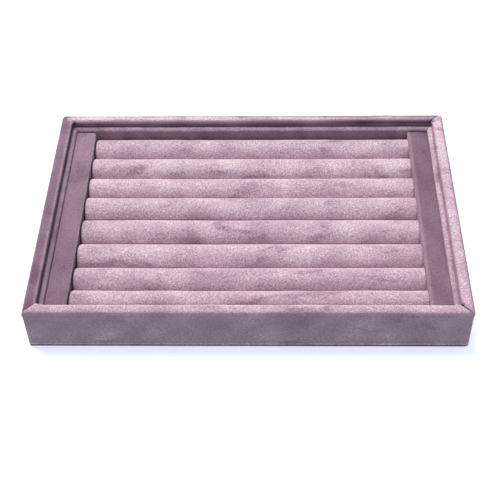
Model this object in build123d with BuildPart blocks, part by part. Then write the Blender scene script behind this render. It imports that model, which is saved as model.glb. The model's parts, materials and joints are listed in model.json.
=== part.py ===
from build123d import *
import math
import os

# A velvet ring tray: a board tray wrapped in cloth, a lower lining inside it, and eight
# cloth-covered foam rolls that lie side by side between two flat end bars.
# Millimetres. The origin is the centre of the underside, the front is -Y and +Z is up.

# Tray
tray_width = 350.0
tray_depth = 240.0
tray_height = 40.0
wall_thickness = 8.0
base_thickness = 3.0

# Cloth
cloth_thickness = 0.9
sheet_thickness = 0.4
rim_edge_radius = 2.4
tray_corner_radius = 2.6
flap_depth = 24.0
turn_in_width = 15.0
sheet_margin = 1.5
sheet_corner_radius = 4.0
tuck_width = 0.4
tuck_end_gap = 1.6

# Lining
lining_drop = 6.6
lining_card_thickness = 1.8
lining_edge_radius = 1.2
lining_turn_in = 12.0
lining_fit = 0.15
lining_mitre_fit = 0.1

# Insert board and end bars
insert_board_thickness = 1.5
insert_fit = 0.25
bar_width = 18.0
bar_drop = 8.4
bar_edge_radius = 1.6

# Rolls
roll_count = 8
roll_drop = 10.3
roll_gap = 0.2
roll_base_chamfer = 2.0
roll_end_radius = 3.2
roll_end_rings = 2
roll_end_cloth = 2.0
roll_end_fit = 0.4
roll_seam_width = 3.0

# Levels, from the underside up
turn_in_level = sheet_thickness
base_level = turn_in_level + cloth_thickness
floor_level = base_level + base_thickness
board_top_level = floor_level + insert_board_thickness
wall_top_level = tray_height - cloth_thickness
lining_top_level = tray_height - lining_drop
bar_top_level = tray_height - bar_drop
roll_top_level = tray_height - roll_drop

# Sizes that follow from the ones above
rim_width = wall_thickness + 2 * cloth_thickness
well_width = tray_width - 2 * rim_width
well_depth = tray_depth - 2 * rim_width
lining_width = well_width - 2 * lining_fit
lining_depth = well_depth - 2 * lining_fit
lining_thickness = lining_card_thickness + 2 * cloth_thickness
bay_width = lining_width - 2 * lining_thickness
bay_depth = lining_depth - 2 * lining_thickness
insert_width = bay_width - 2 * insert_fit
insert_depth = bay_depth - 2 * insert_fit
roll_length = insert_width - 2 * bar_width - 2 * roll_end_fit
roll_pitch = insert_depth / roll_count
roll_width = roll_pitch - roll_gap
roll_height = roll_top_level - board_top_level

# A roll's end turns in along a quarter circle: how far from the end, and how far drawn in
roll_end_steps = []
for ring_number in range(roll_end_rings + 1):
    turn = math.radians(90 * ring_number / roll_end_rings)
    reach = roll_end_radius * (1 - math.cos(turn))
    roll_end_steps.append((reach, roll_end_radius * (1 - math.sin(turn))))


def save(shape, name):
    """Labels a finished piece and writes it under its own name."""
    shape.label = name
    export_step(shape, f"parts/{name}.step")


def ring(width, depth, wall, low, high, corner, inner_edge, outer_edge):
    """A rectangular ring with rounded upright corners and rounded top edges."""
    with BuildPart() as made:
        with BuildSketch(Plane.XY.offset(low)):
            if corner > 0:
                RectangleRounded(width, depth, corner)
            else:
                Rectangle(width, depth)
        extrude(amount=high - low)
        if outer_edge > 0:
            fillet(made.faces().sort_by(Axis.Z)[-1].edges(), outer_edge)
        with BuildSketch(Plane.XY.offset(low)):
            Rectangle(width - 2 * wall, depth - 2 * wall)
        extrude(amount=high - low, mode=Mode.SUBTRACT)
        if inner_edge > 0:
            top = made.faces().sort_by(Axis.Z)[-1]
            fillet(top.inner_wires()[0].edges(), inner_edge)
    return made.part


def block(width, depth, low, high, x=0.0, y=0.0):
    """A plain upright block between two levels, used as a cutter and as a card."""
    with BuildPart() as made:
        with BuildSketch(Plane.XY.offset(low)):
            with Locations((x, y)):
                Rectangle(width, depth)
        extrude(amount=high - low)
    return made.part


def mitred_side(width, depth, reach, side, fit):
    """The upright wedge that cuts one mitred side, front, back, left or right, from a ring."""
    turned = side in ("left", "right")
    length = depth if turned else width
    across = width if turned else depth
    angle = {"front": 0, "right": 90, "back": 180, "left": 270}[side]
    half = length / 2
    edge = -across / 2
    with BuildPart() as made:
        with BuildSketch(Plane.XY.rotated((0, 0, angle))):
            with BuildLine():
                Polyline(
                    (-half + fit, edge),
                    (half - fit, edge),
                    (half - fit - reach, edge + reach),
                    (-half + fit + reach, edge + reach),
                    close=True,
                )
            make_face()
        extrude(amount=tray_height)
    return made.part


# The wall boards and the space that the cloth leaves for them
board_width = tray_width - 2 * cloth_thickness
board_depth = tray_depth - 2 * cloth_thickness
board_corner = tray_corner_radius - cloth_thickness
board_edge = rim_edge_radius - cloth_thickness
wall_ring = ring(
    board_width,
    board_depth,
    wall_thickness,
    floor_level,
    wall_top_level,
    board_corner,
    board_edge,
    board_edge,
)
front_wall_y = (board_depth - wall_thickness) / 2
side_wall_x = (board_width - wall_thickness) / 2
side_wall_length = board_depth - 2 * wall_thickness


def wall(length, across, x, y):
    """One wall board: a block's worth of the rounded wall ring."""
    cutter = block(length, across, floor_level, wall_top_level, x, y)
    with BuildPart() as made:
        add(wall_ring)
        add(cutter, mode=Mode.INTERSECT)
    return made.part


def base_panel():
    """The base board, which the walls stand on."""
    with BuildPart() as made:
        with BuildSketch(Plane.XY.offset(base_level)):
            RectangleRounded(board_width, board_depth, board_corner)
        extrude(amount=base_thickness)
    return made.part


def outer_wrap():
    """The cloth: up the outside, over the rim and down inside, and turned in under the base."""
    skin = ring(
        tray_width,
        tray_depth,
        rim_width,
        turn_in_level,
        tray_height,
        tray_corner_radius,
        rim_edge_radius,
        rim_edge_radius,
    )
    below_flap = tray_height - flap_depth
    tuck_length = (rim_width - tuck_end_gap) * 2**0.5
    with BuildPart() as made:
        add(skin)
        with BuildSketch(Plane.XY.offset(turn_in_level)):
            RectangleRounded(tray_width, tray_depth, tray_corner_radius)
            Rectangle(
                tray_width - 2 * turn_in_width,
                tray_depth - 2 * turn_in_width,
                mode=Mode.SUBTRACT,
            )
        extrude(amount=cloth_thickness)
        add(wall_ring, mode=Mode.SUBTRACT)
        with BuildSketch(Plane.XY.offset(base_level)):
            RectangleRounded(board_width, board_depth, board_corner)
        extrude(amount=base_thickness, mode=Mode.SUBTRACT)
        # The inner flap stops short of the base, behind the lining.
        with BuildSketch(Plane.XY.offset(base_level)):
            Rectangle(well_width + 2 * cloth_thickness, well_depth + 2 * cloth_thickness)
        extrude(amount=below_flap - base_level, mode=Mode.SUBTRACT)
        # A mitred tuck across the rim at each corner, from the inner corner outwards.
        for right in (-1, 1):
            for back in (-1, 1):
                with BuildSketch(Plane.XY.offset(below_flap)):
                    with Locations((right * well_width / 2, back * well_depth / 2)):
                        Rectangle(2 * tuck_length, tuck_width, rotation=45 * right * back)
                extrude(amount=flap_depth, mode=Mode.SUBTRACT)
    return made.part


def underside_sheet():
    """The sheet that covers the underside: its margin lies under the turned-in cloth, and its
    middle steps up against the base."""
    margin_width = tray_width - 2 * sheet_margin
    margin_depth = tray_depth - 2 * sheet_margin
    hole_width = tray_width - 2 * turn_in_width
    hole_depth = tray_depth - 2 * turn_in_width
    with BuildPart() as made:
        with BuildSketch():
            RectangleRounded(margin_width, margin_depth, sheet_corner_radius)
        extrude(amount=sheet_thickness)
        with BuildSketch(Plane.XY.offset(sheet_thickness)):
            Rectangle(hole_width, hole_depth)
        extrude(amount=cloth_thickness)
        with BuildSketch():
            Rectangle(hole_width - 2 * sheet_thickness, hole_depth - 2 * sheet_thickness)
        extrude(amount=cloth_thickness, mode=Mode.SUBTRACT)
    return made.part


def lining_side(side):
    """One side of the lining: a card and the cloth over its face, top and upper back."""
    wedge = mitred_side(
        lining_width, lining_depth, lining_thickness + lining_mitre_fit, side, lining_mitre_fit
    )
    with BuildPart() as cover:
        add(
            ring(
                lining_width,
                lining_depth,
                lining_thickness,
                floor_level,
                lining_top_level,
                0,
                lining_edge_radius,
                lining_edge_radius,
            )
        )
        with BuildSketch(Plane.XY.offset(floor_level)):
            Rectangle(lining_width, lining_depth)
            Rectangle(
                lining_width - 2 * (lining_card_thickness + cloth_thickness),
                lining_depth - 2 * (lining_card_thickness + cloth_thickness),
                mode=Mode.SUBTRACT,
            )
        extrude(amount=lining_top_level - lining_turn_in - floor_level, mode=Mode.SUBTRACT)
        with BuildSketch(Plane.XY.offset(floor_level)):
            Rectangle(lining_width - 2 * cloth_thickness, lining_depth - 2 * cloth_thickness)
            Rectangle(
                lining_width - 2 * (lining_card_thickness + cloth_thickness),
                lining_depth - 2 * (lining_card_thickness + cloth_thickness),
                mode=Mode.SUBTRACT,
            )
        extrude(amount=lining_top_level - cloth_thickness - floor_level, mode=Mode.SUBTRACT)
        add(wedge, mode=Mode.INTERSECT)
    with BuildPart() as card:
        with BuildSketch(Plane.XY.offset(floor_level)):
            Rectangle(lining_width - 2 * cloth_thickness, lining_depth - 2 * cloth_thickness)
            Rectangle(
                lining_width - 2 * (lining_card_thickness + cloth_thickness),
                lining_depth - 2 * (lining_card_thickness + cloth_thickness),
                mode=Mode.SUBTRACT,
            )
        extrude(amount=lining_top_level - cloth_thickness - floor_level)
        add(wedge, mode=Mode.INTERSECT)
    return card.part, cover.part


def end_bar(x):
    """One end bar: a board block and the cloth that wraps its top, sides and ends."""
    core_width = bar_width - 2 * cloth_thickness
    core_length = insert_depth - 2 * cloth_thickness
    core_top = bar_top_level - cloth_thickness
    core_edge = bar_edge_radius - cloth_thickness
    with BuildPart() as core:
        with BuildSketch(Plane.XY.offset(board_top_level)):
            with Locations((x, 0)):
                Rectangle(core_width, core_length)
        extrude(amount=core_top - board_top_level)
        fillet(core.faces().sort_by(Axis.Z)[-1].edges(), core_edge)
    with BuildPart() as cover:
        with BuildSketch(Plane.XY.offset(board_top_level)):
            with Locations((x, 0)):
                Rectangle(bar_width, insert_depth)
        extrude(amount=bar_top_level - board_top_level)
        fillet(cover.faces().sort_by(Axis.Z)[-1].edges(), bar_edge_radius)
        add(core.part, mode=Mode.SUBTRACT)
    return core.part, cover.part


def roll_section(x, y, inset, base):
    """A roll's cross-section at x, drawn in from the full one: a round top and a flat base."""
    half = roll_width / 2 - inset
    top = roll_top_level - inset
    shoulder = roll_top_level - roll_width / 2
    slant = half / 2**0.5
    with BuildSketch(Plane.YZ.offset(x)) as section:
        with BuildLine():
            Polyline(
                (y - half, shoulder),
                (y - half, base + roll_base_chamfer),
                (y - half + roll_base_chamfer, base),
                (y + half - roll_base_chamfer, base),
                (y + half, base + roll_base_chamfer),
                (y + half, shoulder),
            )
            ThreePointArc((y + half, shoulder), (y + slant, shoulder + slant), (y, top))
            ThreePointArc((y, top), (y - slant, shoulder + slant), (y - half, shoulder))
        make_face()
    return section.sketch


def roll(y):
    """One roll: square-cut foam with a round top, and the cloth round it, which is drawn in at
    the ends and has its seam underneath."""
    half_length = roll_length / 2
    foam_end = half_length - roll_end_cloth
    foam_base = board_top_level + cloth_thickness
    foam_section = roll_section(-foam_end, y, cloth_thickness, foam_base)
    left_end = []
    right_end = []
    for reach, inset in roll_end_steps:
        left_end.append(roll_section(reach - half_length, y, inset, board_top_level))
        right_end.insert(0, roll_section(half_length - reach, y, inset, board_top_level))
    with BuildPart() as foam:
        extrude(foam_section, amount=2 * foam_end)
    with BuildPart() as cover:
        loft(left_end + right_end, ruled=True)
        add(foam.part, mode=Mode.SUBTRACT)
        with BuildSketch(Plane.XY.offset(board_top_level)):
            with Locations((0, y)):
                Rectangle(roll_length - 4 * roll_end_radius, roll_seam_width)
        extrude(amount=cloth_thickness, mode=Mode.SUBTRACT)
    return foam.part, cover.part


os.makedirs("parts", exist_ok=True)

save(base_panel(), "base_panel")
save(wall(board_width, wall_thickness, 0, -front_wall_y), "wall_front")
save(wall(board_width, wall_thickness, 0, front_wall_y), "wall_back")
save(wall(wall_thickness, side_wall_length, -side_wall_x, 0), "wall_left")
save(wall(wall_thickness, side_wall_length, side_wall_x, 0), "wall_right")
save(outer_wrap(), "outer_wrap")
save(underside_sheet(), "underside_sheet")

for side in ("front", "back", "left", "right"):
    card, cover = lining_side(side)
    save(card, f"lining_card_{side}")
    save(cover, f"lining_cover_{side}")

save(block(insert_width, insert_depth, floor_level, board_top_level), "insert_board")

bar_x = (insert_width - bar_width) / 2
for side, x in (("left", -bar_x), ("right", bar_x)):
    core, cover = end_bar(x)
    save(core, f"bar_core_{side}")
    save(cover, f"bar_cover_{side}")

for number in range(1, roll_count + 1):
    y = insert_depth / 2 - roll_pitch * (number - 0.5)
    foam, cover = roll(y)
    save(foam, f"roll_foam_{number}")
    save(cover, f"roll_cover_{number}")

print("roll", round(roll_length, 2), "long,", round(roll_width, 2), "wide,", round(roll_height, 2), "high")
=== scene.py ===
import json
import math

import bmesh
import bpy
import numpy as np
from mathutils import Matrix, Vector


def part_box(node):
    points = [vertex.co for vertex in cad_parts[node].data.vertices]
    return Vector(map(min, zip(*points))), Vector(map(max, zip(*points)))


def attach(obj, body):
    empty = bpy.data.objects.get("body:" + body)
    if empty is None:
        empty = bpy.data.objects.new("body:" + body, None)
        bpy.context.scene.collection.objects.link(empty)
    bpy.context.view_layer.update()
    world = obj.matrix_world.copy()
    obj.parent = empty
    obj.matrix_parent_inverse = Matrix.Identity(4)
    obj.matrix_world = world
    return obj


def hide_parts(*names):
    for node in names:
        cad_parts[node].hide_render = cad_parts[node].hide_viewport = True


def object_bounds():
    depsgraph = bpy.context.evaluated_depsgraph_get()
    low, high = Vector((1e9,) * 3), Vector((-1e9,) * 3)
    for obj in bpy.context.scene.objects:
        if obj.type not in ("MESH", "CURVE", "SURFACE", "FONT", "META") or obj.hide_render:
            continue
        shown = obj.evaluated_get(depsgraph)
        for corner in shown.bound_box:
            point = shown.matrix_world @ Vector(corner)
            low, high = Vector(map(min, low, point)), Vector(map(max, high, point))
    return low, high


# Ring tray in mauve velvet. Metres, +X to the right, +Y to the back, +Z up, as in the frame.
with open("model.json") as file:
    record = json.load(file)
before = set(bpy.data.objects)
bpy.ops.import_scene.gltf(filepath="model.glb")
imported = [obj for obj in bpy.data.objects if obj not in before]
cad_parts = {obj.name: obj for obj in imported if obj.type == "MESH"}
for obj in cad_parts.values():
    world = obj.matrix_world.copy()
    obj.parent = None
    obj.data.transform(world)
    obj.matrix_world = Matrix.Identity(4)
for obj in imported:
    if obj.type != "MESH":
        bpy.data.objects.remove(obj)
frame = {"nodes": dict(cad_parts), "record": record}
cadLow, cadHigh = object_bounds()
mm = 0.001
halfWidth, halfDepth, trayTop = cadHigh.x, cadHigh.y, cadHigh.z
print("frame loaded:", len(frame["nodes"]), "nodes")


# Colours and nodes

def linearColour(code):
    # sRGB hex to linear: c / 12.92 below 0.04045, else ((c + 0.055) / 1.055) ** 2.4
    values = [int(code[i:i + 2], 16) / 255 for i in (1, 3, 5)]
    return [v / 12.92 if v <= 0.04045 else ((v + 0.055) / 1.055) ** 2.4 for v in values] + [1.0]


def addNode(tree, kind, inputs=(), **settings):
    # an input that is a socket is linked, and any other is set as a value
    node = tree.nodes.new(kind)
    for name, value in settings.items():
        setattr(node, name, value)
    for name, value in dict(inputs).items():
        if isinstance(value, bpy.types.NodeSocket):
            tree.links.new(value, node.inputs[name])
        else:
            node.inputs[name].default_value = value
    return node


def newMaterial(name):
    material = bpy.data.materials.new(name)
    material.use_nodes = True
    tree = material.node_tree
    tree.nodes.clear()
    return material, tree


def setRamp(node, stops):
    # stops are (place, hex colour), lowest first
    elements = node.color_ramp.elements
    while len(elements) < len(stops):
        elements.new(0.5)
    for element, (place, code) in zip(elements, stops):
        element.position = place
        element.color = linearColour(code)


velvetLook = {
    "stops": [(0.0, "#2c1b27"), (0.25, "#7b6073"), (0.5, "#a98d9f"), (0.75, "#d4b6c8"), (1.0, "#fbe6f0")],
    "speckleSize": 1.3 * mm,  # tufts of pile that catch the light together
    "grainSize": 0.6 * mm,  # the pile itself is finer; drawn this coarse so that it shows
    "mottleSize": 12 * mm,
    "smudgeSize": 16 * mm,  # places where a finger has pushed the pile over
    "speckle": 1.0,
    "grain": 0.60,
    "mottle": 0.26,
    "smudge": 0.22,
    "smudgeBand": (0.54, 0.74),  # the part of the noise that counts as pushed over
    "darkBand": (0.35, 0.72),  # from dark tone to light; much of the dark is painted shade
    "darkGrain": 0.26,  # the grain shows less where the tone is dark, which is mostly painted shade
    "roughness": 0.92,
    "sheen": 0.40,
    "sheenRoughness": 0.34,
    "sheenTint": "#ffe3f1",
    "bump": 0.40,
}


def makeVelvet(name, stretch, look=velvetLook):
    # Short-pile velvet, woven and brushed: matt, with a soft sheen where the pile is seen edge on. The nap
    # attribute sets each place's tone:
    # partly the pile's own lay and random patches, partly painted light: the pile's sheen by side, painted shade
    # and painted highlights.
    material, tree = newMaterial(name)
    place = addNode(tree, "ShaderNodeTexCoord").outputs["Object"]
    brushed = addNode(tree, "ShaderNodeMapping", {"Vector": place, "Scale": stretch}).outputs["Vector"]
    napAndShading = addNode(tree, "ShaderNodeAttribute", attribute_name="napAndShading").outputs["Fac"]

    def noise(vector, size, detail, distortion=0.0):
        return addNode(tree, "ShaderNodeTexNoise", {
            "Vector": vector, "Scale": 1 / size, "Detail": detail, "Roughness": 0.6,
            "Distortion": distortion}).outputs["Fac"]

    def addScaled(value, total, factor, centre):
        # total + (value - centre) * factor
        shifted = addNode(tree, "ShaderNodeMath", {0: value, 1: centre}, operation="SUBTRACT").outputs[0]
        return addNode(tree, "ShaderNodeMath", {0: shifted, 1: factor, 2: total},
                       operation="MULTIPLY_ADD").outputs[0]

    speckle = noise(place, look["speckleSize"], 2)
    grain = noise(place, look["grainSize"], 1)
    mottle = noise(brushed, look["mottleSize"], 3, 0.7)
    smudge = noise(brushed, look["smudgeSize"], 2, 0.4)
    mark = addNode(tree, "ShaderNodeMapRange", {
        "Value": smudge, "From Min": look["smudgeBand"][0],
        "From Max": look["smudgeBand"][1]}, interpolation_type="SMOOTHSTEP").outputs["Result"]
    texture = addScaled(speckle, 0.0, look["speckle"], 0.5)
    texture = addScaled(grain, texture, look["grain"], 0.5)
    texture = addScaled(mottle, texture, look["mottle"], 0.5)
    texture = addScaled(mark, texture, -look["smudge"], 0.05)
    strength = addNode(tree, "ShaderNodeMapRange", {
        "Value": napAndShading, "From Min": look["darkBand"][0], "From Max": look["darkBand"][1],
        "To Min": look["darkGrain"], "To Max": 1.0}, interpolation_type="SMOOTHSTEP").outputs["Result"]
    tone = addNode(tree, "ShaderNodeMath", {0: texture, 1: strength, 2: napAndShading}, operation="MULTIPLY_ADD").outputs[0]
    ramp = addNode(tree, "ShaderNodeValToRGB", {"Fac": tone})
    setRamp(ramp, look["stops"])
    height = addScaled(grain, speckle, 0.7, 0.5)
    bump = addNode(tree, "ShaderNodeBump", {
        "Height": height, "Strength": look["bump"], "Distance": 0.35 * mm}).outputs["Normal"]
    shader = addNode(tree, "ShaderNodeBsdfPrincipled", {
        "Base Color": ramp.outputs["Color"], "Roughness": look["roughness"], "Normal": bump,
        "Sheen Weight": look["sheen"], "Sheen Roughness": look["sheenRoughness"],
        "Sheen Tint": linearColour(look["sheenTint"]), "Specular IOR Level": 0.15})
    addNode(tree, "ShaderNodeOutputMaterial", {"Surface": shader.outputs["BSDF"]})
    return material


def makeBoard(name, pale, dark, fibreSize, stretch, roughness):
    # Pressed or sawn board: matt, with fine fibres in two close tones
    material, tree = newMaterial(name)
    place = addNode(tree, "ShaderNodeTexCoord").outputs["Object"]
    along = addNode(tree, "ShaderNodeMapping", {"Vector": place, "Scale": stretch}).outputs["Vector"]
    fibres = addNode(tree, "ShaderNodeTexNoise", {
        "Vector": along, "Scale": 1 / fibreSize, "Detail": 4, "Roughness": 0.65}).outputs["Fac"]
    ramp = addNode(tree, "ShaderNodeValToRGB", {"Fac": fibres})
    setRamp(ramp, [(0.3, dark), (0.7, pale)])
    bump = addNode(tree, "ShaderNodeBump", {
        "Height": fibres, "Strength": 0.2, "Distance": 0.1 * mm}).outputs["Normal"]
    shader = addNode(tree, "ShaderNodeBsdfPrincipled", {
        "Base Color": ramp.outputs["Color"], "Roughness": roughness, "Normal": bump})
    addNode(tree, "ShaderNodeOutputMaterial", {"Surface": shader.outputs["BSDF"]})
    return material


velvetAcross = makeVelvet("short_pile_velvet_brushed_across", (0.45, 1.0, 1.0))
velvetAlong = makeVelvet("short_pile_velvet_brushed_along", (1.0, 0.45, 1.0))
fibreboard = makeBoard("pressed_fibreboard_sawn", "#a98a66", "#8d7050", 1.2 * mm, (1, 1, 1), 0.85)
# painted shade: the board gets a dark tone so that it looks shaded where it shows in the gaps round the rolls
greyCard = makeBoard("grey_board_pressed_paper", "#3c2d37", "#2c1f28", 2.0 * mm, (1, 1, 1), 0.9)
thinFelt = makeBoard("needled_felt_sheet", "#6b5262", "#4f3a49", 0.8 * mm, (1, 1, 1), 0.95)
print("materials made")


# Surfaces

def ripple(points, wavelength, seed, count=14):
    # smooth noise of about unit size: a sum of cosines in scattered directions
    draw = np.random.default_rng(seed)
    directions = draw.normal(size=(count, 3))
    directions /= np.linalg.norm(directions, axis=1)[:, None]
    rates = 2 * np.pi / wavelength * draw.uniform(0.6, 1.5, count)
    phases = draw.uniform(0, 2 * np.pi, count)
    return np.cos(points @ (directions * rates[:, None]).T + phases).sum(-1) / math.sqrt(count / 2)


def smoothStep(low, high, values):
    # 0 below low and 1 above high, with an even slope between: t * t * (3 - 2 * t)
    t = np.clip((values - low) / (high - low), 0, 1)
    return t * t * (3 - 2 * t)


def roundedProfile(corners, radii, spacing):
    # a line through the corners, each turned on an arc of its radius, with points about spacing apart
    corners = np.array(corners, float)
    pieces = [corners[:1]]
    for before, corner, after, radius in zip(corners[:-2], corners[1:-1], corners[2:], radii):
        inward = (before - corner) / np.linalg.norm(before - corner)
        outward = (after - corner) / np.linalg.norm(after - corner)
        half = math.acos(np.clip(inward @ outward, -1, 1)) / 2
        centre = corner + (inward + outward) / np.linalg.norm(inward + outward) * radius / math.sin(half)
        start = corner + inward * radius / math.tan(half)
        end = corner + outward * radius / math.tan(half)
        steps = max(3, int(math.ceil((math.pi - 2 * half) * radius / spacing * 1.6)))
        turn = np.linspace(0, 1, steps + 1)[:, None]
        chord = start + (end - start) * turn - centre
        arc = centre + chord / np.linalg.norm(chord, axis=1)[:, None] * radius
        pieces += [straightRun(pieces[-1][-1], start, spacing), arc]
    pieces.append(straightRun(pieces[-1][-1], corners[-1], spacing))
    pieces.append(corners[-1:])
    return np.concatenate(pieces)


def straightRun(start, end, spacing):
    # the points strictly between two places
    steps = max(1, int(round(np.linalg.norm(end - start) / spacing)))
    return start + (end - start) * (np.arange(1, steps) / steps)[:, None]


def offsetLine(line, distance):
    # each point moved to the right of the way along the line
    along = np.gradient(line, axis=0)
    along /= np.linalg.norm(along, axis=1)[:, None]
    return line + np.stack([along[:, 1], -along[:, 0]], 1) * distance


def gridFaces(rows, columns, closedRows, closedColumns):
    # four-cornered faces of a grid of points, joined round where it is closed
    i = np.arange(rows if closedRows else rows - 1)[:, None]
    j = np.arange(columns if closedColumns else columns - 1)[None, :]
    nextI, nextJ = (i + 1) % rows, (j + 1) % columns
    return np.stack([i * columns + j, i * columns + nextJ, nextI * columns + nextJ, nextI * columns + j],
                    -1).reshape(-1, 4)


def addSurface(name, grid, napAndShading, material, closedRows=False, closedColumns=True, capped=False):
    # grid is rows x columns x 3; capped closes the first and last row with a fan round its middle
    rows, columns = grid.shape[:2]
    points = grid.reshape(-1, 3)
    tones = np.broadcast_to(napAndShading, (rows, columns)).reshape(-1)
    faces = gridFaces(rows, columns, closedRows, closedColumns).tolist()
    if capped:
        points = np.concatenate([points, grid[0].mean(0)[None], grid[-1].mean(0)[None]])
        tones = np.concatenate([tones, tones[:1], tones[-1:]])
        around = np.arange(columns)
        after = (around + 1) % columns
        firstMiddle, lastMiddle = rows * columns, rows * columns + 1
        last = (rows - 1) * columns
        faces += np.stack([after, around, np.full(columns, firstMiddle)], 1).tolist()
        faces += np.stack([last + around, last + after, np.full(columns, lastMiddle)], 1).tolist()
    mesh = bpy.data.meshes.new(name)
    mesh.from_pydata(points.tolist(), [], faces)
    outward = bmesh.new()
    outward.from_mesh(mesh)
    bmesh.ops.recalc_face_normals(outward, faces=outward.faces)
    outward.to_mesh(mesh)
    outward.free()
    mesh.polygons.foreach_set("use_smooth", np.ones(len(mesh.polygons), bool))
    # the per-point tone: the pile's lay together with painted light and shade
    mesh.attributes.new("napAndShading", "FLOAT", "POINT").data.foreach_set("value", tones.astype(np.float32))
    mesh.materials.append(material)
    piece = bpy.data.objects.new(name, mesh)
    bpy.context.scene.collection.objects.link(piece)
    return piece


# Camera, floor and light

cameraLook = {
    "place": (19.7 * mm, -644.6 * mm, 662.7 * mm),
    "down": 46.41, "left": 1.80, "tilt": -1.31,  # degrees
    "lens": 76.1, "film": 36.0,
}


def addCamera(look):
    down, left, tilt = (math.radians(look[k]) for k in ("down", "left", "tilt"))
    ahead = Vector((-math.sin(left) * math.cos(down), math.cos(left) * math.cos(down), -math.sin(down)))
    right = Vector((math.cos(left), math.sin(left), 0))
    up = right.cross(ahead)
    turnedRight = right * math.cos(tilt) + up * math.sin(tilt)
    turnedUp = up * math.cos(tilt) - right * math.sin(tilt)
    camera = bpy.data.objects.new("camera", bpy.data.cameras.new("camera"))
    camera.data.lens = look["lens"]
    camera.data.sensor_width = look["film"]
    camera.matrix_world = Matrix.Translation(look["place"]) @ Matrix(
        (turnedRight, turnedUp, -ahead)).transposed().to_4x4()
    bpy.context.scene.collection.objects.link(camera)
    bpy.context.scene.camera = camera


studio = {
    "sun": 1.90, "sunAngle": 26.0, "sunFrom": (-0.26, 0.34, 1.0), "sunColour": "#fff1eb",
    "sky": 0.54, "skyColour": "#f1f7ff", "horizonColour": "#e4ffff", "horizon": 0.64,
    "floorColour": "#def4f4", "floorSize": 6.0, "floorGlow": 0.58, "glowColour": "#f6e9ff",
}


def addStudio(look):
    sun = bpy.data.objects.new("key_light", bpy.data.lights.new("key_light", "SUN"))
    sun.data.energy = look["sun"]
    sun.data.angle = math.radians(look["sunAngle"])
    sun.data.color = linearColour(look["sunColour"])[:3]
    sun.rotation_mode = "QUATERNION"
    sun.rotation_quaternion = Vector(look["sunFrom"]).to_track_quat("Z", "Y")
    bpy.context.scene.collection.objects.link(sun)

    world = bpy.data.worlds.new("studio")
    world.use_nodes = True
    tree = world.node_tree
    tree.nodes.clear()
    rays = addNode(tree, "ShaderNodeLightPath").outputs
    # cooler near the horizon than overhead
    direction = addNode(tree, "ShaderNodeTexCoord").outputs["Generated"]
    height = addNode(tree, "ShaderNodeSeparateXYZ", {"Vector": direction}).outputs["Z"]
    upwards = addNode(tree, "ShaderNodeMapRange", {
        "Value": height, "From Min": 0.1, "From Max": 0.7}, interpolation_type="SMOOTHSTEP").outputs["Result"]
    low = addNode(tree, "ShaderNodeBackground", {
        "Color": linearColour(look["horizonColour"]), "Strength": look["horizon"]}).outputs[0]
    high = addNode(tree, "ShaderNodeBackground", {
        "Color": linearColour(look["skyColour"]), "Strength": look["sky"]}).outputs[0]
    ambient = addNode(tree, "ShaderNodeMixShader", {"Fac": upwards, 1: low, 2: high}).outputs[0]
    white = addNode(tree, "ShaderNodeBackground", {"Color": (1, 1, 1, 1), "Strength": 1.0}).outputs[0]
    seen = addNode(tree, "ShaderNodeMixShader", {"Fac": rays["Is Camera Ray"], 1: ambient, 2: white}).outputs[0]
    addNode(tree, "ShaderNodeOutputWorld", {"Surface": seen})
    bpy.context.scene.world = world

    material, tree = newMaterial("matt_white_paper_floor")
    matt = addNode(tree, "ShaderNodeBsdfDiffuse", {"Color": linearColour(look["floorColour"])}).outputs[0]
    glow = addNode(tree, "ShaderNodeEmission", {
        "Color": linearColour(look["glowColour"]), "Strength": look["floorGlow"]}).outputs[0]
    both = addNode(tree, "ShaderNodeAddShader", {0: matt, 1: glow}).outputs[0]
    rays = addNode(tree, "ShaderNodeLightPath").outputs
    shown = addNode(tree, "ShaderNodeMixShader", {"Fac": rays["Is Camera Ray"], 1: matt, 2: both}).outputs[0]
    addNode(tree, "ShaderNodeOutputMaterial", {"Surface": shown})
    half = look["floorSize"] / 2
    floorLevel = cadLow.z - 0.05 * mm
    mesh = bpy.data.meshes.new("floor")
    mesh.from_pydata([(-half, -half, floorLevel), (half, -half, floorLevel), (half, half, floorLevel),
                      (-half, half, floorLevel)], [], [(0, 1, 2, 3)])
    mesh.materials.append(material)
    floor = bpy.data.objects.new("floor", mesh)
    bpy.context.scene.collection.objects.link(floor)


addCamera(cameraLook)
addStudio(studio)
scene = bpy.context.scene
scene.view_settings.view_transform = "Standard"
print("camera and studio made")


# Outer wrap: one strip of velvet, from under the base up the outside, over the rim and down inside

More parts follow.
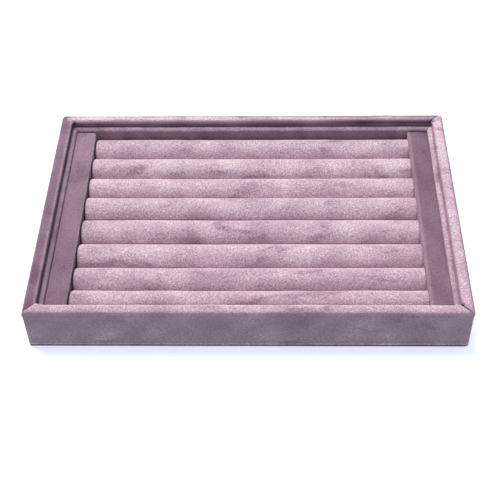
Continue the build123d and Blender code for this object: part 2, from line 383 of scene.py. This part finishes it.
wrapLook = {
    "cloth": 0.85 * mm, "rim": 9.3 * mm, "turnIn": 15 * mm, "flap": 24 * mm,
    "footWidth": 1.5 * mm, "footLevel": 0.05 * mm, "footRound": 0.5 * mm,
    "outerRound": 2.4 * mm, "innerRound": 1.5 * mm, "foldRadius": 0.3 * mm,
    "spacing": 0.8 * mm, "sideSteps": 62, "arcSteps": 10,
    "nearCorner": (0, 0.3, 0.65, 1.05, 1.5, 2.1, 2.9, 3.9, 5.2, 7, 9.5, 13),  # millimetres
    "crown": 0.7 * mm, "bulge": 0.45 * mm, "bulgeDepth": 9 * mm, "lean": 0.4 * mm, "unevenness": 0.10 * mm,
    # the rim top's tone, with the pile's sheen painted in: each strip lighter or darker by how its pile meets the
    # light, and a painted highlight on the left strip's inner edge; at these places from the outer edge (0) to
    # the inner (1)
    "napPlaces": (0.05, 0.35, 0.62, 0.76, 0.90, 1.0),
    "napTop": {"front": (0.52, 0.68, 0.70, 0.74, 0.92, 0.80), "back": (0.62, 0.76, 0.90, 0.62, 0.42, 0.34),
               "left": (0.36, 0.34, 0.35, 0.40, 0.62, 0.20), "right": (0.62, 0.78, 0.78, 0.80, 0.75, 0.50)},
    # painted shade: the rim's inner faces, darkest on the left and back, and the outer faces, darker than the top
    "insideShade": {"front": 0.45, "back": 0.26, "left": 0.04, "right": 0.46},
    "outsideShade": {"front": 0.44, "back": 0.46, "left": 0.43, "right": 0.46},
    "napDepth": {"front": 0.0, "back": 0.0, "left": 0.07, "right": 0.06},  # painted light: lighter towards the back
    "backRightShade": (0.10, 0.16), "backRight": (0.2, 0.7),  # painted shade: the back strip darkens to the right
    # the darker bottom edge, a painted highlight in a line above it and painted light from the floor on the lower
    # face, in millimetres up
    "napFoot": -0.45, "footBand": (1.0, 1.6),
    "hemHighlight": 0.24, "hemPlace": 2.6, "hemWidth": 0.8,
    "bottomLight": 0.07, "bottomBand": (2, 26),
    # bands below the tray's top, and the parts of the profile that count as outer and inner face
    "crownBand": 3 * mm, "edgeBand": 2.5 * mm, "edgeRadius": 0.5 * mm,
    "bulgeFull": 2 * mm, "leanStart": 4 * mm, "leanFull": 1.5 * mm,
    "outFaceDepth": 1.4 * mm, "outFaceTop": 0.18 * mm, "inFaceDepth": 1.2 * mm, "inFaceTop": 1.6 * mm,
}

# How the wrap is folded at each rim corner, by (right, back). Lengths are millimetres. The slit
# lies offset from the diagonal, away from the side strip, and a lap is raised on the front or back
# strip (1) or on the side strip (-1). A pleat is a second, shallower line beside the slit.
# dark is the painted shade in each slit, and gleam a painted highlight by the knob
cornerFolds = {
    (-1, -1): {"radius": 1.8, "slit": 0.7, "slitWidth": 0.40, "offset": -0.6, "lap": 0.75, "lapSide": 1,
               "knob": 1.0, "knobSide": 0.8, "dark": 0.22, "pleat": 0.0, "pleatAt": 0.0, "pit": 0.0,
               "gleam": 0.0},
    (1, -1): {"radius": 3.2, "slit": 1.5, "slitWidth": 0.60, "offset": 0.3, "lap": 0.45, "lapSide": 1,
              "knob": 0.0, "knobSide": 0.0, "dark": 0.70, "pleat": 0.6, "pleatAt": -2.1, "pit": 1.2,
              "gleam": 0.0},
    (-1, 1): {"radius": 3.8, "slit": 0.7, "slitWidth": 0.55, "offset": 1.6, "lap": 0.95, "lapSide": -1,
              "knob": 1.1, "knobSide": -0.6, "dark": 0.50, "pleat": 0.0, "pleatAt": 0.0, "pit": 0.0,
              "gleam": 0.50},
    (1, 1): {"radius": 3.8, "slit": 0.8, "slitWidth": 0.45, "offset": 1.1, "lap": 0.8, "lapSide": -1,
             "knob": 0.0, "knobSide": 0.0, "dark": 0.40, "pleat": 0.0, "pleatAt": 0.0, "pit": 1.0,
             "gleam": 0.0},
}
# what all the folds share, in millimetres, and how much painted shade and painted highlight they get
foldShape = {
    "topBand": (3.5, 1.0), "inwards": (0.8, 3.4), "stop": 12,
    "pleatWidth": 0.45, "pleatInwards": (1, 3), "pleatDark": 0.3,
    "lapBand": (0, 0.6), "lapFade": 5,
    "pitPlace": (-0.9, 0.4), "pitWidth": 1.1, "pitDepth": 0.9, "pitDark": 0.6,
    "knobPlace": 0.3, "knobWidth": 2.4, "knobBand": 6, "knobLift": 0.3, "knobOut": 0.7,
    "gleamPlace": (6.5, 6.0), "gleamWidth": 2.1,
    "ridge": 0.16, "ridgeBand": (0.3, 0.9), "ridgeFade": 1.6,
}
# corners in the order that the outline passes them, from the front side's left end
cornerOrder = ((-1, -1), (1, -1), (1, 1), (-1, 1))


def frameOutline(insets, radii, look):
    # rows of points round the tray, one row for each inset from the outer faces: four straight
    # sides with close columns near the corners, and a quarter arc after each
    near = np.array(look["nearCorner"]) * mm
    middle = np.linspace(0, 1, look["sideSteps"])[1:-1]
    turns = np.linspace(0, math.pi / 2, look["arcSteps"] + 1)[1:-1]
    sides = []
    for k in range(4):
        along = np.array([(1, 0), (0, 1), (-1, 0), (0, -1)][k], float)
        out = np.array([(0, -1), (1, 0), (0, 1), (-1, 0)][k], float)
        halfAlong, halfOut = (halfWidth, halfDepth) if k % 2 == 0 else (halfDepth, halfWidth)
        start = (radii[:, k] - halfAlong + insets)[:, None]
        radius = radii[:, (k + 1) % 4][:, None]
        end = halfAlong - insets[:, None] - radius
        depth = (halfOut - insets)[:, None]
        first, last = start + near[-1], end - near[-1]
        places = np.concatenate([start + near, first + middle * (last - first), end - near[::-1]], 1)
        straight = places[..., None] * along + np.broadcast_to(depth, places.shape)[..., None] * out
        arc = ((end + radius * np.sin(turns))[..., None] * along
               + (depth - radius + radius * np.cos(turns))[..., None] * out)
        sides += [straight, arc]
    return np.concatenate(sides, 1)


def foldCorners(points, napAndShading, look, shape):
    # folds the cloth at each rim corner: moves points in place, paints shade in the slits, pleats and pits, and
    # paints highlights at the gleam and along the laps
    px = (halfWidth - np.abs(points[..., 0])) / mm
    py = (halfDepth - np.abs(points[..., 1])) / mm
    height = points[..., 2]
    across, inwards = (px - py) / math.sqrt(2), (px + py) / 2
    start, full = shape["topBand"]
    onRim = smoothStep(trayTop - start * mm, trayTop - full * mm, height)
    taper = smoothStep(*shape["inwards"], inwards) * onRim * (inwards < shape["stop"])
    onKnob = smoothStep(trayTop - shape["knobBand"] * mm, trayTop, height)
    inner = look["rim"] / mm

    def bump(x, y, width):
        return np.exp(-(np.hypot(px - x, py - y) / width) ** 2)

    for (right, back), fold in cornerFolds.items():
        here = (np.sign(points[..., 0]) == right) & (np.sign(points[..., 1]) == back)
        d = across - fold["offset"]
        slit = np.exp(-(d / fold["slitWidth"]) ** 2)
        pleat = (np.exp(-((across - fold["pleatAt"]) / shape["pleatWidth"]) ** 2)
                 * smoothStep(*shape["pleatInwards"], inwards))
        side = d * fold["lapSide"]
        ahead = np.maximum(side, 0)
        lap = fold["lap"] * smoothStep(*shape["lapBand"], side) * np.exp(-ahead / shape["lapFade"])
        pit = bump(inner + shape["pitPlace"][0], inner + shape["pitPlace"][1], shape["pitWidth"]) * onRim
        shift = shape["knobPlace"] * fold["knobSide"]
        knob = fold["knob"] * bump(inner + shift, inner - shift, shape["knobWidth"]) * onKnob
        rise = (taper * (lap - fold["slit"] * slit - fold["pleat"] * pleat)
                - shape["pitDepth"] * fold["pit"] * pit + shape["knobLift"] * knob)
        points[..., 2] += here * rise * mm
        points[..., 0] -= here * right * knob * shape["knobOut"] * mm
        points[..., 1] -= here * back * knob * shape["knobOut"] * mm
        # painted shade in the slits, pleats and pits
        napAndShading -= here * (taper * (fold["dark"] * slit + shape["pleatDark"] * fold["pleat"] * pleat)
                       + shape["pitDark"] * fold["pit"] * pit)
        # painted highlights: the gleam, and a line along each lap's edge
        napAndShading += here * fold["gleam"] * bump(*shape["gleamPlace"], shape["gleamWidth"])
        napAndShading += (here * taper * shape["ridge"] * smoothStep(*shape["ridgeBand"], side)
                * np.exp(-ahead / shape["ridgeFade"]))


def sideNames(points):
    # which strip each point is on, parted along the slits of the corner folds
    px = halfWidth - np.abs(points[..., 0])
    py = halfDepth - np.abs(points[..., 1])
    across = (px - py) / math.sqrt(2) / mm
    offset = np.zeros(across.shape)
    for (right, back), fold in cornerFolds.items():
        here = (np.sign(points[..., 0]) == right) & (np.sign(points[..., 1]) == back)
        offset += here * fold["offset"] * (points[..., 2] > trayTop - 3 * mm)
    acrossFront = across > offset
    return {
        "front": acrossFront & (points[..., 1] < 0), "back": acrossFront & (points[..., 1] >= 0),
        "left": ~acrossFront & (points[..., 0] < 0), "right": ~acrossFront & (points[..., 0] >= 0)}


def makeWrap(look):
    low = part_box("outer_wrap")[0].z
    outside = roundedProfile(
        [(look["turnIn"], low), (look["footWidth"], low), (0, look["footLevel"]), (0, trayTop),
         (look["rim"], trayTop), (look["rim"], trayTop - look["flap"])],
        [look["footRound"], look["footRound"], look["outerRound"], look["innerRound"]], look["spacing"])
    inside = offsetLine(outside, look["cloth"])
    profile = np.concatenate([outside, inside[::-1]])
    insets, levels = profile[:, 0], profile[:, 1]
    across = np.clip(insets / look["rim"], 0, 1)
    crown = np.where(levels > trayTop - look["crownBand"], look["crown"] * np.sin(np.pi * across) ** 0.7, 0)
    radii = np.array([cornerFolds[corner]["radius"] for corner in cornerOrder]) * mm
    radii = np.maximum(radii[None] - np.maximum(insets, 0)[:, None], look["foldRadius"])
    radii = np.where((levels < trayTop - look["edgeBand"])[:, None],
                     np.maximum(radii, look["edgeRadius"]), radii)
    # the padded rim swells a little to both sides at the top
    bulge = look["bulge"] * smoothStep(trayTop - look["bulgeDepth"], trayTop - look["bulgeFull"], levels)
    lean = look["lean"] * smoothStep(trayTop - look["leanStart"], trayTop - look["leanFull"], levels)
    outline = frameOutline(insets - bulge * (1 - across) + lean * across, radii, look)
    columns = outline.shape[1]
    points = np.concatenate([outline, np.broadcast_to((levels + crown)[:, None, None],
                                                      (len(levels), columns, 1))], 2)
    outFace = ((insets < look["outFaceDepth"]) & (levels < trayTop - look["outFaceTop"]))[:, None]
    inFace = ((insets > look["rim"] - look["inFaceDepth"]) & (levels < trayTop - look["inFaceTop"]))[:, None]
    napAndShading = np.zeros(points.shape[:2])
    for side, here in sideNames(points).items():
        lay = np.interp(across, look["napPlaces"], look["napTop"][side])[:, None]
        lay = lay + look["napDepth"][side] * points[..., 1] / halfDepth
        # painted shade on the outer and inner faces, painted sheen on the top
        napAndShading += here * np.where(outFace, look["outsideShade"][side],
                               np.where(inFace, look["insideShade"][side], lay))
    onTop = ~outFace & ~inFace
    rightwards = points[..., 0] / halfWidth
    # painted shade on the back strip's top, darker to the right
    even, end = look["backRightShade"]
    darker = even * rightwards + end * smoothStep(*look["backRight"], rightwards)
    napAndShading -= sideNames(points)["back"] * onTop * darker
    above = (levels - low)[:, None] / mm
    # darker at the bottom edge, a painted highlight above it and painted floor light on the lower face
    napAndShading += outFace * (look["napFoot"] * (1 - smoothStep(*look["footBand"], above))
                      + look["hemHighlight"] * np.exp(-((above - look["hemPlace"]) / look["hemWidth"]) ** 2)
                      + look["bottomLight"] * (1 - smoothStep(*look["bottomBand"], above)))
    foldCorners(points, napAndShading, look, foldShape)
    uneven = ripple(points, 60 * mm, 3) + 0.5 * ripple(points, 18 * mm, 4)
    points[..., 2] += uneven * look["unevenness"] * smoothStep(0.02, 0.038, levels)[:, None]
    napAndShading += 0.03 * ripple(points, 30 * mm, 5)
    piece = addSurface("wrap", points, napAndShading, velvetAcross, closedRows=True)
    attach(piece, "root")
    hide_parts("outer_wrap")


makeWrap(wrapLook)
print("wrap made")


# Lining: four lower strips inside the rim, each a card under velvet

liningLook = {
    "cloth": 0.8 * mm, "topRound": 1.5 * mm, "turnIn": 12 * mm, "spacing": 0.6 * mm, "step": 2.0 * mm,
    "wave": 0.15 * mm,
    "reach": 0.5 * mm, "raise": 0.5 * mm,  # the strips lean against the wrap and stand a little proud
    # the top's tone by side with the pile's sheen painted in, painted light towards the back, and painted shade
    # on the inner faces, darkest on the left, and on the outer faces against the wrap
    "napAndShading": {"front": 0.60, "back": 0.55, "left": 0.46, "right": 0.71},
    "napDepth": {"front": 0.0, "back": 0.0, "left": 0.04, "right": 0.08},
    "faceShade": {"front": 0.30, "back": 0.33, "left": 0.10, "right": 0.30},
    "outerShade": 0.05,
    "topOutside": 0.7 * mm, "topInside": 1.3 * mm,  # how far down the top's pile reaches on each side
}


def makeLining(side, look):
    low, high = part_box(f"lining_cover_{side}")
    sideways = side in ("left", "right")
    outward = 1 if side in ("back", "right") else -1
    # the card stands between these faces, measured along the wall's normal
    outerFace = (max(abs(low.x), abs(high.x)) if sideways else max(abs(low.y), abs(high.y)))
    thick = (high.x - low.x) if sideways else (high.y - low.y)
    halfLength = (high.y if sideways else high.x)
    outerFace += look["reach"]
    halfLength += look["reach"]
    innerFace = outerFace - thick
    top = high.z + look["raise"]
    profile = roundedProfile(
        [(outerFace, top - look["turnIn"]), (outerFace, top), (innerFace, top), (innerFace, low.z)],
        [look["topRound"], look["topRound"]], look["spacing"])
    inside = offsetLine(profile, look["cloth"])
    loop = np.concatenate([profile, inside[::-1]])
    outs, levels = loop[:, 0], loop[:, 1]
    steps = int(2 * halfLength / look["step"])
    places = np.linspace(-1, 1, steps)
    mitred = halfLength - (outerFace - outs)
    along = places[:, None] * mitred[None, :]
    shape = along.shape
    across = np.broadcast_to(outs, shape) * outward
    points = np.stack([across, along, np.broadcast_to(levels, shape)] if sideways
                      else [along, across, np.broadcast_to(levels, shape)], -1).copy()
    seed = {"front": 11, "back": 12, "left": 13, "right": 14}[side]
    lean = ripple(np.stack([along, np.zeros(shape), np.zeros(shape)], -1), 70 * mm, seed)
    upper = smoothStep(top - 3 * mm, top, points[..., 2])
    points[..., 0 if sideways else 1] += lean * look["wave"] * upper
    points[..., 2] += 0.5 * look["wave"] * ripple(points, 60 * mm, seed + 20) * upper
    outside = outs > (outerFace + innerFace) / 2
    onTop = levels > top - np.where(outside, look["topOutside"], look["topInside"])
    # painted shade on the faces, painted sheen on the top
    face = np.where(outside, look["outerShade"], look["faceShade"][side])
    napAndShading = np.where(onTop, look["napAndShading"][side], face) + 0.03 * ripple(points, 25 * mm, seed)
    napAndShading += onTop * look["napDepth"][side] * points[..., 1] / halfDepth
    piece = addSurface(f"lining_{side}", points, napAndShading, velvetAlong if sideways else velvetAcross)
    closeEnds(piece, shape)
    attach(piece, "root")
    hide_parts(f"lining_cover_{side}")


def closeEnds(piece, shape):
    # the cut edge of the cloth at each end: a strip of faces between its two sides
    rows, columns = shape
    mesh = piece.data
    half = columns // 2
    edge = np.arange(half - 1)
    strips = []
    for first, flip in ((0, False), ((rows - 1) * columns, True)):
        a, b = first + edge, first + edge + 1
        c, d = first + columns - 2 - edge, first + columns - 1 - edge
        quads = np.stack([a, b, c, d], 1)
        strips.append(quads[:, ::-1] if flip else quads)
    joined = bmesh.new()
    joined.from_mesh(mesh)
    joined.verts.ensure_lookup_table()
    for quad in np.concatenate(strips).tolist():
        joined.faces.new([joined.verts[i] for i in quad]).smooth = True
    bmesh.ops.recalc_face_normals(joined, faces=joined.faces)
    joined.to_mesh(mesh)
    joined.free()


for side in ("front", "back", "left", "right"):
    makeLining(side, liningLook)
print("lining made")


# End bars: a board block under tight velvet

barLook = {
    "edge": {"left": 1.6 * mm, "right": 0.9 * mm}, "endEdge": 1.4 * mm, "endRings": 5,
    "spacing": 0.7 * mm, "step": 2.0 * mm,
    # how far the left and right faces stand from the plain block's, along X
    "faces": {"left": (-0.7 * mm, -0.7 * mm), "right": (0.0, 0.7 * mm)},
    "crown": 0.2 * mm, "unevenness": 0.05 * mm,
    # the top's tone by side with the pile's sheen painted in, painted shade down the sides, and a change in
    # painted light towards the back
    "napAndShading": {"left": 0.41, "right": 0.33}, "sideShade": {"left": -0.42, "right": -0.25},
    "napDepth": {"left": 0.09, "right": -0.03},
    # the painted highlight in a strip beside the rolls, which fades out between these shares of its width
    "innerStrip": {"left": 0.5 * mm, "right": 2.6 * mm}, "stripBand": (0.4, 1.5),
    "stripHighlight": {"left": 0.26, "right": 0.14},
}


def makeBar(side, look):
    low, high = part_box(f"bar_cover_{side}")
    leftFace, rightFace = low.x + look["faces"][side][0], high.x + look["faces"][side][1]
    width, top, base = rightFace - leftFace, high.z, low.z
    middle = (leftFace + rightFace) / 2
    edge = look["edge"][side]
    half = width / 2

    def section(inset):
        # a rounded block's outline, drawn in by inset: up one side, over the top and down the other
        line = roundedProfile(
            [(0, base), (-half + inset, base), (-half + inset, top - inset), (half - inset, top - inset),
             (half - inset, base), (0, base)],
            [0.4 * mm, max(edge - inset, 0.4 * mm), max(edge - inset, 0.4 * mm), 0.4 * mm],
            look["spacing"])[:-1]
        return line

    full = section(0)
    ends = np.linspace(0, math.pi / 2, look["endRings"])
    insets = look["endEdge"] * (1 - np.sin(ends))
    reaches = look["endEdge"] * (1 - np.cos(ends))
    inner = np.arange(low.y + look["endEdge"], high.y - look["endEdge"], look["step"])[1:]
    places = np.concatenate([low.y + reaches, inner, (high.y - reaches)[::-1]])
    drawn = np.concatenate([insets, np.zeros(len(inner)), insets[::-1]])
    # drawing in is a scale about the block's middle at its base
    scaleX = (half - drawn) / half
    scaleZ = (top - base - drawn) / (top - base)
    shape = (len(places), len(full))
    x = middle + full[None, :, 0] * scaleX[:, None]
    z = base + (full[None, :, 1] - base) * scaleZ[:, None]
    y = np.broadcast_to(places[:, None], shape)
    points = np.stack([x, y, z], -1)
    seed = 31 if side == "left" else 32
    upper = smoothStep(top - 4 * mm, top - 1 * mm, points[..., 2])
    crown = 1 - ((points[..., 0] - middle) / half) ** 2
    points[..., 2] += upper * (look["crown"] * crown - look["crown"]
                               + look["unevenness"] * ripple(points, 22 * mm, seed))
    # a painted highlight in a strip along the edge beside the rolls, and painted shade down the bar's sides
    fromInner = half - (points[..., 0] - middle) * (1 if side == "left" else -1)
    strip = look["stripHighlight"][side] * (1 - smoothStep(*look["stripBand"], fromInner / look["innerStrip"][side]))
    napAndShading = look["napAndShading"][side] + look["sideShade"][side] * (1 - upper) + strip
    napAndShading += look["napDepth"][side] * points[..., 1] / halfDepth + 0.02 * ripple(points, 30 * mm, seed)
    piece = addSurface(f"bar_{side}", points, napAndShading, velvetAlong, capped=True)
    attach(piece, "root")
    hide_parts(f"bar_cover_{side}")


for side in ("left", "right"):
    makeBar(side, barLook)
print("bars made")


# Rolls: foam in tight velvet, side by side and pressed against each other

rollLook = {
    "count": 8, "leftRound": 2.6 * mm, "rightRound": 0.8 * mm, "endRings": 7, "capRings": 4,
    "spacing": 1.3 * mm, "step": 2.6 * mm,
    "leftReach": 0.2 * mm, "rightReach": 0.5 * mm, "baseRound": 2.5 * mm,  # past the plain roll's ends
    "shrink": 0.35 * mm, "pressure": 3.5, "frames": 14, "reach": 0.7 * mm,
    "unevenness": 0.10 * mm, "clear": 0.03 * mm,
    # how far each valley, back to front, lies from an even spacing
    "valleyShift": (0, 0.1, -0.1, 0.9, 0.9, -0.8, -1.6, -0.8, 0),  # millimetres
    "topShift": (0, 0, 0, 1.0, 0.6, 0, 0, 1.1),  # how far each roll stands above the rest, millimetres
    # painted light: highlight over the back, shade down the front, in the valleys and at the left end
    "napAndShading": 0.76, "backHighlight": 0.44, "frontShade": -0.15, "valleyShade": -0.60, "leftEndShade": -0.45,
    "deepBand": (0.95, 0.62),  # where the painted valley shade starts, below the top, in half widths
    "leftEndBand": 1.4 * mm,
    "napShift": (0, 0.01, 0, 0, -0.01, -0.01, -0.05, -0.04),  # each roll's pile lies a little differently
}


def rollSection(half, height, look):
    # half-circle top on straight sides and a flat base with small rounds, as (across, up), closed
    baseRound = look["baseRound"]
    radius = half
    turn = np.linspace(0, math.pi, int(math.pi * radius / look["spacing"]))
    arc = np.stack([-radius * np.cos(turn), height - radius + radius * np.sin(turn)], 1)
    under = roundedProfile(
        [(radius, height - radius), (radius, 0), (-radius, 0), (-radius, height - radius)],
        [baseRound, baseRound], look["spacing"])[1:-1]
    return np.concatenate([arc, under])


def makeRoll(number, back, front, look):
    low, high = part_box(f"roll_cover_{number}")
    half = (back - front) / 2 - look["clear"]
    middle = (back + front) / 2
    height = high.z - low.z + look["topShift"][number - 1] * mm
    start, end = low.x - look["leftReach"], high.x + look["rightReach"]
    section = rollSection(half - look["shrink"], height - look["shrink"], look)
    centre = np.array([0, height - half])
    turns = np.linspace(0, math.pi / 2, look["endRings"])
    leftRound, rightRound = look["leftRound"], look["rightRound"]
    inner = np.linspace(start + leftRound, end - rightRound, int((end - start) / look["step"]))[1:-1]
    caps = np.linspace(0.2, 1, look["capRings"], endpoint=False)
    places = np.concatenate([
        np.full(len(caps), start), start + leftRound * (1 - np.cos(turns)), inner,
        (end - rightRound * (1 - np.cos(turns)))[::-1], np.full(len(caps), end)])
    leftScale = 1 - leftRound / half * (1 - np.sin(turns))
    rightScale = 1 - rightRound / half * (1 - np.sin(turns))
    scales = np.concatenate([caps * leftScale[0], leftScale, np.ones(len(inner)),
                             rightScale[::-1], (caps * rightScale[0])[::-1]])
    profile = centre + (section - centre)[None] * scales[:, None, None]
    x = np.broadcast_to(places[:, None], profile.shape[:2])
    points = np.stack([x, middle + profile[..., 0], low.z + profile[..., 1]], -1)
    points[..., 2] = np.maximum(points[..., 2], low.z)
    piece = addSurface(f"roll_{number}", points, look["napAndShading"], velvetAcross, capped=True)
    inflate(piece, look, low.z)
    settle(piece, number, middle, half, low.z, low.z + height, start, end, look)
    rounder = piece.modifiers.new("rounder", "SUBSURF")
    rounder.levels = rounder.render_levels = 1
    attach(piece, "root")
    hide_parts(f"roll_cover_{number}", f"roll_foam_{number}")


def inflate(piece, look, base):
    # the foam's push: cloth under pressure, held along its base, and no point goes far
    mesh = piece.data
    rest = np.empty(len(mesh.vertices) * 3)
    mesh.vertices.foreach_get("co", rest)
    rest = rest.reshape(-1, 3)
    held = piece.vertex_groups.new(name="held")
    held.add(np.flatnonzero(rest[:, 2] < base + 2 * mm).tolist(), 1.0, "REPLACE")
    cloth = piece.modifiers.new("cloth", "CLOTH")
    cloth.settings.quality = 5
    cloth.settings.mass = 0.25
    cloth.settings.tension_stiffness = cloth.settings.compression_stiffness = 60
    cloth.settings.bending_stiffness = 4
    cloth.settings.use_pressure = True
    cloth.settings.uniform_pressure_force = look["pressure"]
    cloth.settings.effector_weights.gravity = 0
    cloth.settings.vertex_group_mass = "held"
    cloth.collision_settings.use_collision = False
    cloth.point_cache.frame_start, cloth.point_cache.frame_end = 1, look["frames"]
    for step in range(1, look["frames"] + 1):
        scene.frame_set(step)
    solved = piece.evaluated_get(bpy.context.evaluated_depsgraph_get())
    moved = np.empty(len(rest) * 3)
    solved.data.vertices.foreach_get("co", moved)
    piece.modifiers.remove(cloth)
    piece.vertex_groups.clear()
    shift = moved.reshape(-1, 3) - rest
    length = np.linalg.norm(shift, axis=1)[:, None]
    shift *= np.minimum(1, look["reach"] / np.maximum(length, 1e-9))
    mesh.vertices.foreach_set("co", (rest + shift).ravel())
    mesh.update()
    scene.frame_set(1)


def settle(piece, number, middle, half, base, top, start, end, look):
    # slight unevenness of hand-wrapped foam, kept inside the roll's own space between its neighbours
    mesh = piece.data
    points = np.empty(len(mesh.vertices) * 3)
    mesh.vertices.foreach_get("co", points)
    points = points.reshape(-1, 3)
    normals = np.empty(len(points) * 3)
    mesh.vertices.foreach_get("normal", normals)
    normals = normals.reshape(-1, 3)
    lift = ripple(points, 70 * mm, 50 + number) + 0.4 * ripple(points, 18 * mm, 70 + number)
    points += normals * (lift * look["unevenness"])[:, None]
    points[:, 1] = middle + np.clip(points[:, 1] - middle, -half, half)
    points[:, 0] = np.clip(points[:, 0], start, end)
    points[:, 2] = np.clip(points[:, 2], base, top + 0.4 * mm)
    mesh.vertices.foreach_set("co", points.ravel())
    mesh.update()
    # painted light: a painted highlight over the back of the top, painted shade down the front, into the valleys
    # and at the left end
    lean = np.clip((points[:, 1] - middle) / half, -1, 1)
    napAndShading = look["napAndShading"] + look["napShift"][number - 1]
    napAndShading = napAndShading + np.where(lean > 0, look["backHighlight"] * lean ** 2, look["frontShade"] * lean ** 2)
    napAndShading += look["leftEndShade"] * (1 - smoothStep(start, start + look["leftEndBand"], points[:, 0]))
    deep, shallow = look["deepBand"]
    napAndShading += look["valleyShade"] * (1 - smoothStep(top - deep * half, top - shallow * half, points[:, 2]))
    napAndShading += 0.035 * ripple(points, 34 * mm, 90 + number)
    mesh.attributes["napAndShading"].data.foreach_set("value", napAndShading.astype(np.float32))


def makeRolls(look):
    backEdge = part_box("insert_board")[1].y
    pitch = 2 * backEdge / look["count"]
    valleys = backEdge - pitch * np.arange(look["count"] + 1) + np.array(look["valleyShift"]) * mm
    for number in range(1, look["count"] + 1):
        makeRoll(number, valleys[number - 1], valleys[number], look)
        print("roll", number, "made")


makeRolls(rollLook)


# Underside: a thin felt sheet, and the boards that the cloth covers

undersideLook = {"corner": 4 * mm, "thickness": 0.35 * mm}


def makeUnderside(look):
    low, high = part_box("underside_sheet")
    halfX, halfY, thick = high.x, high.y, look["thickness"]
    angles = np.linspace(0, math.pi / 2, 9)
    arc = np.stack([np.sin(angles), 1 - np.cos(angles)], 1)  # along and across a rounded corner
    loops = []
    for turnX, turnY, swap in ((1, -1, False), (1, 1, True), (-1, 1, False), (-1, -1, True)):
        corner = np.array([turnX * (halfX - look["corner"]), turnY * (halfY - look["corner"])])
        run = arc * look["corner"]
        if swap:
            loops.append(corner + np.stack([turnX * (look["corner"] - run[:, 1]), turnY * run[:, 0]], 1))
        else:
            loops.append(corner + np.stack([turnX * run[:, 0], turnY * (look["corner"] - run[:, 1])], 1))
    outline = np.concatenate(loops)
    rings = [(1.0, 0.0), (1.0, thick)]
    inner = [(s, 0.0) for s in np.linspace(0.12, 0.94, 12)] + [(0.985, 0.0)]
    outer = [(0.985, thick)] + [(s, thick) for s in np.linspace(0.94, 0.12, 12)]
    layout = np.array(inner + rings + outer)
    flat = outline[None] * layout[:, 0][:, None, None]
    points = np.concatenate([flat, np.broadcast_to(layout[:, 1][:, None, None], flat.shape[:2] + (1,))], 2)
    piece = addSurface("underside_felt", points, 0.3, thinFelt, capped=True)
    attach(piece, "root")
    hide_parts("underside_sheet")


makeUnderside(undersideLook)
nodeFinish = {"fibreboard": fibreboard, "card": greyCard}
for entry in frame["record"]["subparts"]:
    if entry["material_slot"] in nodeFinish:
        for place in frame["nodes"][entry["node"]].material_slots:
            place.material = nodeFinish[entry["material_slot"]]
print("underside and boards finished")
